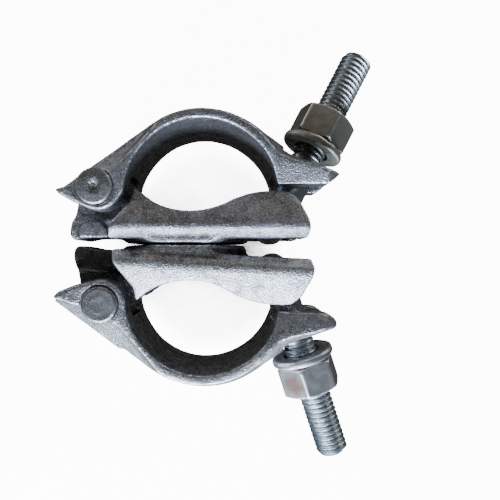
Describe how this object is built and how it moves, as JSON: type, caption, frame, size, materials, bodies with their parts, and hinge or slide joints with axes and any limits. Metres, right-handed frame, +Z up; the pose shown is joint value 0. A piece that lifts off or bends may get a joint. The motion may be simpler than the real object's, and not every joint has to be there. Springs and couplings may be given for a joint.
{
  "type": "scaffold coupler clamp",
  "caption": "Drop-forged swivel coupler that joins two scaffold tubes at any angle, with hinged flaps, swinging T-bolts, washers and hex nuts.",
  "frame": {"origin": "on the floor under the middle of the clamp, which lies on its side", "axes": "+Z up, along both tube axes; +X from the hinges to the bolts; +Y from the lower half coupler to the upper one, along the swivel axis"},
  "size_m": [0.1079, 0.1429, 0.0415],
  "materials": {
    "forged_body": "dull galvanised forging",
    "forged_flap": "dull galvanised forging, worn at the edges",
    "rivet": "peened steel, matt",
    "bolt": "zinc plated",
    "washer": "zinc plated, dull",
    "nut": "zinc plated, brushed facets"
  },
  "bodies": {
    "upper_saddle": {"upper_body": "forged_body", "swivel_rivet": "rivet"},
    "lower_saddle": {"lower_body": "forged_body"},
    "upper_gate": {"upper_flap": "forged_flap", "upper_hinge_pin": "rivet"},
    "upper_bolt": {"upper_t_bolt": "bolt"},
    "upper_washer_ring": {"upper_washer": "washer"},
    "upper_nut_hex": {"upper_nut": "nut"},
    "lower_gate": {"lower_flap": "forged_flap", "lower_hinge_pin": "rivet"},
    "lower_bolt": {"lower_t_bolt": "bolt"},
    "lower_washer_ring": {"lower_washer": "washer"},
    "lower_nut_hex": {"lower_nut": "nut"}
  },
  "joints": [
    {"name": "swivel", "type": "hinge", "parent": "upper_saddle", "child": "lower_saddle", "pos_m": [-0.0115, 0.0024, 0.02075], "axis": [0, 1, 0], "continuous": true},
    {"name": "upper_flap_hinge", "type": "hinge", "parent": "upper_saddle", "child": "upper_gate", "pos_m": [-0.0393, 0.021, 0.02075], "axis": [0, 0, 1], "range_deg": [-1, 2.5]},
    {"name": "upper_bolt_swing", "type": "hinge", "parent": "upper_saddle", "child": "upper_bolt", "pos_m": [0.0183, 0.01, 0.02195], "axis": [-0.0484, -0.0926, -0.9945], "range_deg": [-4, 53]},
    {"name": "upper_nut_travel", "type": "slide", "parent": "upper_bolt", "child": "upper_washer_ring", "axis": [0.4608, 0.8813, -0.1045], "range_m": [-0.0013, 0.02]},
    {"name": "upper_nut_spin", "type": "hinge", "parent": "upper_washer_ring", "child": "upper_nut_hex", "pos_m": [0.0183, 0.01, 0.02195], "axis": [0.4608, 0.8813, -0.1045], "range_deg": [-240, 4100]},
    {"name": "lower_flap_hinge", "type": "hinge", "parent": "lower_saddle", "child": "lower_gate", "pos_m": [-0.03761, -0.01618, 0.02075], "axis": [0, 0, -1], "range_deg": [0, 1.5]},
    {"name": "lower_bolt_swing", "type": "hinge", "parent": "lower_saddle", "child": "lower_bolt", "pos_m": [0.01926, -0.00674, 0.02195], "axis": [0.033, -0.0992, 0.9945], "range_deg": [0, 59]},
    {"name": "lower_nut_travel", "type": "slide", "parent": "lower_bolt", "child": "lower_washer_ring", "axis": [0.3139, -0.9437, -0.1045], "range_m": [-0.0006, 0.02]},
    {"name": "lower_nut_spin", "type": "hinge", "parent": "lower_washer_ring", "child": "lower_nut_hex", "pos_m": [0.01926, -0.00674, 0.02195], "axis": [0.3139, -0.9437, -0.1045], "range_deg": [-100, 4100]}
  ],
  "couplings": [
    {"joint": "upper_nut_travel", "follows": "upper_nut_spin", "m_per_rad": 0.00027852},
    {"joint": "lower_nut_travel", "follows": "lower_nut_spin", "m_per_rad": 0.00027852}
  ]
}
